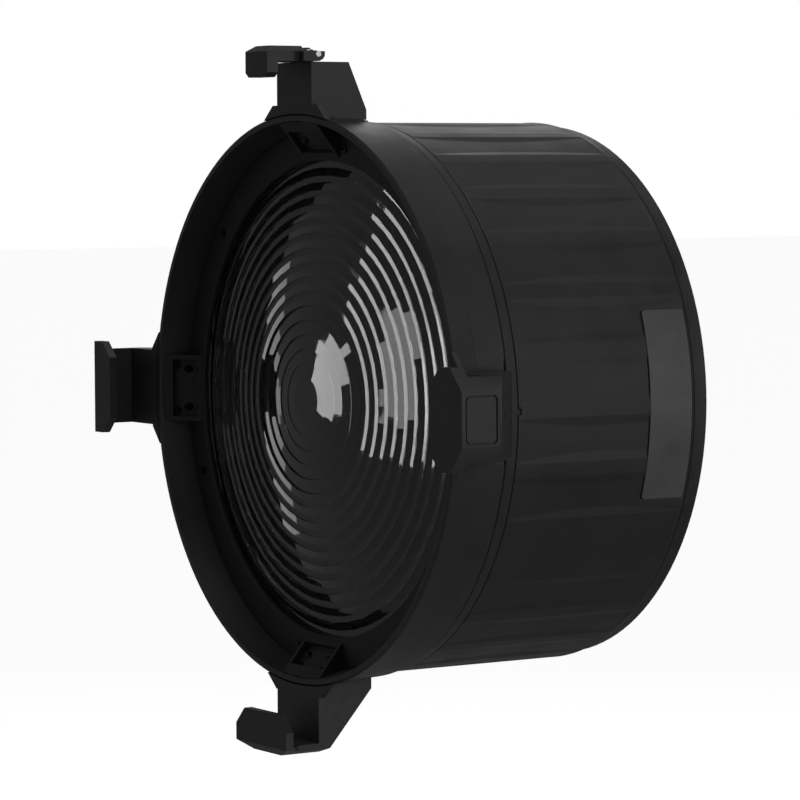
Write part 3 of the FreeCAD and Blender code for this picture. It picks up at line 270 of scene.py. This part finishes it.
COAT_GLOSS = 0.3
COAT_CLOUDS = 38.0             # cycles per metre, like every scale here
COAT_SHADES = (0.82, 1.14)     # darkest and lightest cloud, as shares of the colour
COAT_HAZE = (-0.05, 0.06)      # least and most that the clouds add to the roughness
COAT_GRAIN = 0.05 * MM         # height of the bump
RUB_EDGE = (0.52, 0.60)        # pointiness of an edge that starts to wear, and of one fully worn
RUB_PATCHES = 160.0
RUB_RANGE = (0.4, 0.65)        # the patches' noise, from least to most wear
RUB_SHARE = (0.2, 1.0)         # the wear that it gives
METAL_CLOUDS = 60.0
METAL_SHADE = 0.86
METAL_HAZE = (-0.06, 0.08)
METAL_GRAIN = 0.03 * MM


def coated(name, colour, worn, roughness, grain, grain_strength, wear=0.35):
    """A dark coat or moulding: fine grain, cloudy gloss and edges that are rubbed a little."""
    material, tree, shader = new_material(name)
    shader.inputs["Specular IOR Level"].default_value = COAT_GLOSS
    cloud = noise(tree, COAT_CLOUDS, detail=4.0)
    fine = noise(tree, grain, detail=2.0, roughness=0.6)
    dark, light = [tuple(share * c for c in colour) for share in COAT_SHADES]
    shade = blend_colours(tree, spread(tree, cloud, 0.0, 1.0), dark, light)
    edges = tree.nodes.new("ShaderNodeNewGeometry")
    rubbed = add_node(tree, "ShaderNodeMath")
    rubbed.operation = "MULTIPLY"
    tree.links.new(spread(tree, edges.outputs["Pointiness"], 0.0, wear, *RUB_EDGE),
                   rubbed.inputs[0])
    tree.links.new(spread(tree, noise(tree, RUB_PATCHES, detail=5.0), *RUB_SHARE, *RUB_RANGE),
                   rubbed.inputs[1])
    surface = blend_colours(tree, rubbed.outputs["Value"], colour, worn)
    tree.links.new(shade.outputs["Result"], surface.inputs["A"])
    tree.links.new(surface.outputs["Result"], shader.inputs["Base Color"])
    tree.links.new(spread(tree, cloud, roughness + COAT_HAZE[0], roughness + COAT_HAZE[1]),
                   shader.inputs["Roughness"])
    tree.links.new(grain_bump(tree, fine, grain_strength, COAT_GRAIN), shader.inputs["Normal"])
    return material


def metal(name, colour, roughness, grain, strength):
    """A bare metal with fine turning marks and a cloudy finish."""
    material, tree, shader = new_material(name)
    shader.inputs["Metallic"].default_value = 1.0
    cloud = noise(tree, METAL_CLOUDS, detail=4.0)
    dark = tuple(METAL_SHADE * c for c in colour)
    shade = blend_colours(tree, spread(tree, cloud, 0.0, 1.0), dark, colour)
    tree.links.new(shade.outputs["Result"], shader.inputs["Base Color"])
    tree.links.new(spread(tree, cloud, roughness + METAL_HAZE[0], roughness + METAL_HAZE[1]),
                   shader.inputs["Roughness"])
    tree.links.new(grain_bump(tree, noise(tree, grain, detail=2.0), strength, METAL_GRAIN),
                   shader.inputs["Normal"])
    return material


def glass(name, index, roughness, scale, strength, distance):
    """Clear pressed glass with the slow waves, or the stipple, of its mould."""
    material, tree, shader = new_material(name)
    shader.inputs["Base Color"].default_value = (0.97, 0.985, 0.98, 1.0)
    shader.inputs["Transmission Weight"].default_value = 1.0
    shader.inputs["IOR"].default_value = index
    shader.inputs["Roughness"].default_value = roughness
    waves = noise(tree, scale, detail=1.0)
    tree.links.new(grain_bump(tree, waves, strength, distance), shader.inputs["Normal"])
    return material


# coated: name, colour, worn colour, roughness, grain scale, grain strength and wear
# metal: name, colour, roughness, grain scale and strength
# glass: name, index, roughness, and the scale, strength and height of its waves
# The stippled back's low index stands for a surface that scatters and doesn't mirror.
MATERIALS = {
    "powder_coat": coated("powder_coat", (0.0180, 0.0180, 0.0186), (0.040, 0.040, 0.041), 0.46,
                          2600.0, 0.35),
    "inner_black": coated("inner_black", (0.0095, 0.0095, 0.0100), (0.022, 0.022, 0.023), 0.60,
                          2200.0, 0.4),
    "sleeve_black": coated("sleeve_black", (0.0165, 0.0165, 0.0170), (0.034, 0.034, 0.035), 0.48,
                           3200.0, 0.4),
    "label_grey": coated("label_grey", (0.066, 0.066, 0.068), (0.095, 0.095, 0.097), 0.38,
                         4200.0, 0.15),
    "tube_black": coated("tube_black", (0.014, 0.014, 0.015), (0.045, 0.045, 0.047), 0.40,
                         3000.0, 0.25),
    "gasket_rubber": coated("gasket_rubber", (0.014, 0.014, 0.014), (0.022, 0.022, 0.022), 0.70,
                            1500.0, 0.4),
    "slide_polymer": coated("slide_polymer", (0.66, 0.65, 0.61), (0.75, 0.74, 0.70), 0.45,
                            1800.0, 0.2),
    "bare_steel": metal("bare_steel", (0.56, 0.56, 0.57), 0.32, 2400.0, 0.3),
    "black_screw": metal("black_screw", (0.030, 0.030, 0.030), 0.42, 2600.0, 0.3),
    "bayonet_alloy": metal("bayonet_alloy", (0.60, 0.61, 0.62), 0.36, 2200.0, 0.35),
    "lens_glass": glass("lens_glass", 1.49, 0.02, 45.0, 0.25, 0.3 * MM),
    "lens_stipple": glass("lens_stipple", 1.06, 0.25, 900.0, 0.5, 0.25 * MM),
}


# ---------------------------------------------------------------- turned pieces

def make_turned(node, radius):
    """Replace a plain ring by a finer one of the same section with rounded edges."""
    make_piece(node, lathe(rounded(section(node), radius), RING_STEPS))


def make_softened(node, width):
    """Replace a machined or moulded piece by the same piece with rounded edges."""
    make_piece(node, softened(node, width))


# ---------------------------------------------------------------- zoom sleeve and its label

FLUTES = 30
RIDGE_HALF = 1.5      # degrees
FLANK_WIDTH = 1.9     # degrees, at mid-length
EDGE_ROUND = 0.14     # degrees
FLUTE_DEEP = 1.0 * MM
FLUTE_END_SHARE = 0.2
FLUTE_MARGIN = 1.2 * MM
FLUTE_STEPS = 44      # along the sleeve
SLEEVE_INNER = 137.0 * MM
FRONT_EDGE = 0.8 * MM
FRONT_MID_BACK = 0.3 * MM   # the front edge's middle point, back from its corner
FRONT_MID_DOWN = 0.35 * MM  # and towards the axis
BACK_EDGE = 0.6 * MM
BACK_MID = 0.2 * MM
SEAT_GAP = 0.1 * MM   # the label's seat starts this much in front of the plate
NOTCH_HALF = 0.6      # degrees
NOTCH_LONG = 2.0 * MM
NOTCH_DEEP = 1.1 * MM
STEP_GAP = 0.03       # degrees between the two columns of a square step
LABEL_LOW, LABEL_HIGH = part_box("label_plate")
LABEL_HALF = math.degrees(math.asin(LABEL_HIGH.z / LABEL_HIGH.x))
LABEL_FLOOR = LABEL_LOW.x / math.cos(math.radians(LABEL_HALF))
LABEL_CORNER = 2.2 * MM
LABEL_EDGE = 0.12 * MM
LABEL_STEPS = 24      # across half the plate
CORNER_STEP = 15      # degrees along a corner's arc


def flute_share(y):
    """How much of its full depth a flute has at a place along the sleeve."""
    start = SLEEVE_LOW.y + FLUTE_MARGIN
    end = SLEEVE_HIGH.y - FLUTE_MARGIN
    t = (2 * y - start - end) / (end - start)
    return max(0.0, FLUTE_END_SHARE + (1 - FLUTE_END_SHARE) * (1 - t * t)) if abs(t) <= 1 else 0.0


def flute_columns(share):
    """(degrees from a ridge's middle, share of full depth) across half a flute."""
    flank = max(FLANK_WIDTH * share, 3 * EDGE_ROUND)
    foot = RIDGE_HALF + flank
    bit = share * EDGE_ROUND / flank
    label_edge = (-LABEL_HALF) % (360.0 / FLUTES)
    return [
        (0.0, 0.0),
        (NOTCH_HALF - STEP_GAP, 0.0),
        (NOTCH_HALF + STEP_GAP, 0.0),
        (RIDGE_HALF - EDGE_ROUND, 0.0),
        (RIDGE_HALF, bit / 4),
        (RIDGE_HALF + EDGE_ROUND, bit),
        (foot - EDGE_ROUND, share - bit),
        (foot, share - bit / 4),
        (foot + EDGE_ROUND, share),
        (label_edge - STEP_GAP, share),
        (label_edge + STEP_GAP, share),
        (180.0 / FLUTES, share),
    ]


def sleeve_row(y, radius):
    """(angle, radius) round the sleeve at one place along it."""
    half = flute_columns(flute_share(y))
    across = half + [(360.0 / FLUTES - angle, deep) for angle, deep in reversed(half[1:-1])]
    return [
        (360.0 / FLUTES * flute + angle, radius - FLUTE_DEEP * deep)
        for flute in range(FLUTES) for angle, deep in across
    ]


def make_sleeve():
    """The fluted sleeve: flat ridges, scallops that deepen towards the middle, a label seat."""
    radius = SLEEVE_HIGH.x
    front, back = SLEEVE_LOW.y, SLEEVE_HIGH.y
    seat = LABEL_LOW.y - SEAT_GAP
    notch = front + NOTCH_LONG
    rows = [(front, radius - FRONT_EDGE), (front + FRONT_MID_BACK, radius - FRONT_MID_DOWN),
            (front + FRONT_EDGE, radius)]
    start, end = front + FLUTE_MARGIN, back - FLUTE_MARGIN
    places = [start + (end - start) * i / FLUTE_STEPS for i in range(FLUTE_STEPS + 1)]
    for step in (seat, notch):
        places += [step - WELD, step + WELD]
    rows += [(y, radius) for y in sorted(places)]
    rows += [(back - BACK_EDGE, radius), (back - BACK_MID, radius - BACK_MID),
             (back, radius - BACK_EDGE), (back, SLEEVE_INNER), (front, SLEEVE_INNER)]
    mesh = bmesh.new()
    grid = []
    for y, reach in rows:
        ring = []
        for degrees, place in sleeve_row(y, reach):
            off_middle = abs((degrees + 180.0) % 360.0 - 180.0)
            if off_middle < LABEL_HALF and y > seat:
                place = min(place, LABEL_FLOOR)
            if off_middle < NOTCH_HALF and y < notch:
                place = min(place, radius - NOTCH_DEEP)
            if reach == SLEEVE_INNER:
                place = SLEEVE_INNER
            ring.append(on_axis(mesh, place, y, math.radians(degrees)))
        grid.append(ring)
    count = len(grid[0])
    for i, ring in enumerate(grid):
        following = grid[(i + 1) % len(grid)]
        for j in range(count):
            k = (j + 1) % count
            mesh.faces.new((ring[j], ring[k], following[k], following[j]))
    make_piece("zoom_sleeve", mesh)


def make_label():
    """The blank plate let into the sleeve, with its two front corners rounded."""
    half = math.radians(LABEL_HALF) * LABEL_HIGH.x
    corner = [LABEL_CORNER * (1 - math.cos(math.radians(a))) for a in range(0, 91, CORNER_STEP)]
    middle = [
        LABEL_CORNER + (half - LABEL_CORNER) * i / LABEL_STEPS for i in range(1, LABEL_STEPS + 1)
    ]
    inward = corner + middle
    places = [-half + s for s in inward] + [half - s for s in reversed(inward[:-1])]
    mesh = bmesh.new()
    columns = []
    for place in places:
        to_end = min(half - abs(place), LABEL_CORNER)
        front = LABEL_LOW.y + LABEL_CORNER - math.sqrt(
            max(0.0, LABEL_CORNER ** 2 - (LABEL_CORNER - to_end) ** 2))
        top, back = LABEL_HIGH.x, LABEL_HIGH.y
        outline = [
            (LABEL_FLOOR, front), (top - LABEL_EDGE, front), (top, front + LABEL_EDGE),
            (top, back - LABEL_EDGE), (top - LABEL_EDGE, back), (LABEL_FLOOR, back),
        ]
        columns.append([on_axis(mesh, r, y, place / LABEL_HIGH.x) for r, y in outline])
    for one, other in zip(columns, columns[1:]):
        for i in range(len(one)):
            j = (i + 1) % len(one)
            mesh.faces.new((one[i], one[j], other[j], other[i]))
    mesh.faces.new(columns[0])
    mesh.faces.new(list(reversed(columns[-1])))
    make_piece("label_plate", mesh)


# ---------------------------------------------------------------- lens

FACETS_ROUND = 48
FACET_LEAST = 3.0 * MM       # a facet is at least this wide
FACET_LEAST_DROP = 0.2 * MM  # and falls back at least this much
LAND_FROM = 44.0 * MM        # radius beyond which a facet ends in a flat land
LAND_SHARE = 0.45            # of the facet's width
LAND_RISE = 0.05             # its slope, outwards and back
BACK_FACING = 0.9


def lens_outline():
    """The lens's section as (radius, y, ring); beyond its middle each facet ends in a flat land."""
    points = section("fresnel_lens")
    result = []
    skipped = None
    ring = 0
    for i, (radius, y) in enumerate(points):
        if i == skipped:
            continue
        after = points[(i + 1) % len(points)]
        width = after[0] - radius
        is_facet = width > FACET_LEAST and after[1] > y + FACET_LEAST_DROP
        ring += is_facet
        result.append((radius, y, ring))
        if is_facet and radius > LAND_FROM:
            low = y + (after[1] - y) * (1 - LAND_SHARE)
            result.append((radius + width * (1 - LAND_SHARE), low, ring))
            result.append((after[0], low + LAND_RISE * width * LAND_SHARE, ring))
            skipped = i + 1
    return result


def make_lens():
    """Pressed glass: a stepped front of short flat facets, staggered by ring, and a stippled back."""
    points = lens_outline()
    outline = [(radius, y) for radius, y, ring in points]
    lags = [0.5 * (ring % 2) for radius, y, ring in points]
    piece = make_piece("fresnel_lens", lathe(outline, FACETS_ROUND, lags))
    piece.modifiers.clear()
    piece.data.materials.append(MATERIALS["lens_stipple"])
    back = max(y for radius, y in outline)
    for face in piece.data.polygons:
        face.use_smooth = False
        if face.normal.y > BACK_FACING and face.center.y > back - WELD:
            face.material_index = 1
    return piece


# ---------------------------------------------------------------- build

make_turned("lens_retainer", 0.4 * MM)
make_turned("front_trim_ring", 0.4 * MM)
make_turned("rear_trim_ring", 0.35 * MM)
lens = make_lens()
make_sleeve()
make_label()
for node in ("ear_left", "ear_right", "ear_bottom", "ear_top", "top_latch"):
    make_softened(node, 0.45 * MM)
for side in ("top", "right", "bottom", "left"):
    make_softened("inner_bracket_" + side, 0.3 * MM)
make_softened("front_ring", 0.4 * MM)
make_softened("ear_pads", 0.25 * MM)
make_softened("rear_cover", 0.4 * MM)
make_softened("bayonet_ring", 0.3 * MM)
for node, item in NODES.items():
    if not item.hide_render:
        item.data.materials.clear()
        item.data.materials.append(MATERIALS[SLOT_OF[node]])


# ---------------------------------------------------------------- camera

CAMERA_AZIMUTH = 58.72  # degrees, from the front towards +X
CAMERA_ELEVATION = 3.56
CAMERA_ROLL = -0.364
CAMERA_DISTANCE = 13.0 * RIM_RADIUS
CAMERA_LENS = 167.2     # mm, on a sensor SENSOR_WIDTH wide
SENSOR_WIDTH = 36.0
AIM_TURN = 1.603        # degrees from the rim's centre to the middle of the picture


def direction_to(azimuth, elevation):
    """A unit vector from the lens, by its angles from the front towards +X and upwards."""
    around = math.radians(azimuth)
    above = math.radians(elevation)
    return Vector((math.sin(around) * math.cos(above), -math.cos(around) * math.cos(above),
                   math.sin(above)))


def make_camera():
    """A long lens at the front right, aimed a little behind the rim."""
    azimuth = math.radians(CAMERA_AZIMUTH)
    back = direction_to(CAMERA_AZIMUTH, CAMERA_ELEVATION)
    right = Vector((math.cos(azimuth), math.sin(azimuth), 0.0))
    up = back.cross(right)
    place = RIM_CENTRE + back * CAMERA_DISTANCE
    turn = math.radians(AIM_TURN)
    aimed_back = back * math.cos(turn) - right * math.sin(turn)
    aimed_right = right * math.cos(turn) + back * math.sin(turn)
    roll = math.radians(CAMERA_ROLL)
    rolled_right = aimed_right * math.cos(roll) + up * math.sin(roll)
    rolled_up = up * math.cos(roll) - aimed_right * math.sin(roll)
    data = bpy.data.cameras.new("photo_camera")
    data.lens = CAMERA_LENS
    data.sensor_width = SENSOR_WIDTH
    camera = bpy.data.objects.new("photo_camera", data)
    bpy.context.scene.collection.objects.link(camera)
    turned = Matrix((rolled_right, rolled_up, aimed_back)).transposed().to_4x4()
    camera.matrix_world = Matrix.Translation(place) @ turned
    bpy.context.scene.camera = camera


# ---------------------------------------------------------------- stage and lights

FLOOR_DROP = 0.45  # metres below the unit, which hangs from its rear mount
FLOOR_SIZE = 60.0
FLOOR_GLOW = 0.55  # lifts the floor to white without lighting the underside of the unit
WORLD_LIT = 0.19   # the world's strength, except where the camera sees it

# azimuth and elevation in degrees, distance, width and height in metres, power in watts
LENS_BOXES = {
    "left_box": (-46.5, 1.0, 2.2, 0.62, 0.58, 5.6),
    "front_box": (-14.0, 6.0, 2.2, 0.56, 1.10, 5.8),
    "low_left_box": (-95.0, -4.0, 2.4, 1.8, 1.6, 9.0),
}
ROOM_BOXES = {
    "right_box": (100.0, 4.0, 2.6, 1.6, 2.0, 26.0),
    "back_box": (-126.0, 27.0, 3.0, 1.4, 1.0, 7.0),
    "low_back_box": (-122.0, -11.0, 2.4, 1.0, 0.4, 1.6),
}


def make_floor():
    """A plain pale floor below the unit; only the camera sees it, so it gives no bounce light."""
    bpy.ops.mesh.primitive_plane_add(size=FLOOR_SIZE, location=(0, 0, cad_box[0].z - FLOOR_DROP))
    floor = bpy.context.object
    floor.name = "floor"
    material, tree, shader = new_material("floor_pale")
    shader.inputs["Base Color"].default_value = (0.88, 0.88, 0.88, 1.0)
    shader.inputs["Roughness"].default_value = 0.9
    shader.inputs["Specular IOR Level"].default_value = 0.1
    shader.inputs["Emission Color"].default_value = (1.0, 1.0, 1.0, 1.0)
    shader.inputs["Emission Strength"].default_value = FLOOR_GLOW
    floor.data.materials.append(material)
    floor.visible_diffuse = False
    floor.visible_glossy = False
    floor.visible_transmission = False


def make_light(name, kind):
    data = bpy.data.lights.new(name, kind)
    light = bpy.data.objects.new(name, data)
    bpy.context.scene.collection.objects.link(light)
    light.rotation_mode = "QUATERNION"
    return light, data


def make_softbox(name, azimuth, elevation, distance, width, height, power, lights_only=None):
    """A rectangular light that points at the lens; with lights_only it lights that group alone."""
    light, data = make_light(name, "AREA")
    data.shape = "RECTANGLE"
    data.size = width
    data.size_y = height
    data.energy = power
    light.visible_camera = False
    back = direction_to(azimuth, elevation)
    light.location = RIM_CENTRE + back * distance
    light.rotation_quaternion = (-back).to_track_quat("-Z", "Y")
    if lights_only is not None:
        light.light_linking.receiver_collection = lights_only


def make_sun(name, direction, angle, strength):
    """A broad even light from far away; a wide angle in degrees makes it soft."""
    light, data = make_light(name, "SUN")
    data.angle = math.radians(angle)
    data.energy = strength
    light.rotation_quaternion = Vector(direction).normalized().to_track_quat("Z", "Y")


def make_world():
    """White behind the object, and a dimmer even light from all round."""
    world = bpy.data.worlds.new("studio")
    bpy.context.scene.world = world
    world.use_nodes = True
    tree = world.node_tree
    output = tree.nodes["World Output"]
    seen = tree.nodes["Background"]
    seen.inputs["Color"].default_value = (1.0, 1.0, 1.0, 1.0)
    lit = tree.nodes.new("ShaderNodeBackground")
    lit.inputs["Color"].default_value = (1.0, 1.0, 1.0, 1.0)
    lit.inputs["Strength"].default_value = WORLD_LIT
    path = tree.nodes.new("ShaderNodeLightPath")
    mix = tree.nodes.new("ShaderNodeMixShader")
    tree.links.new(path.outputs["Is Camera Ray"], mix.inputs["Fac"])
    tree.links.new(lit.outputs["Background"], mix.inputs[1])
    tree.links.new(seen.outputs["Background"], mix.inputs[2])
    tree.links.new(mix.outputs["Shader"], output.inputs["Surface"])


make_camera()
make_floor()
make_world()
lens_only = bpy.data.collections.new("lens_only")
lens_only.objects.link(lens)
make_sun("top_light", (0.15, 0.1, 1.0), angle=40.0, strength=0.9)
for name, values in LENS_BOXES.items():
    make_softbox(name, *values, lens_only)
for name, values in ROOM_BOXES.items():
    make_softbox(name, *values)
bpy.context.scene.view_settings.view_transform = "Standard"
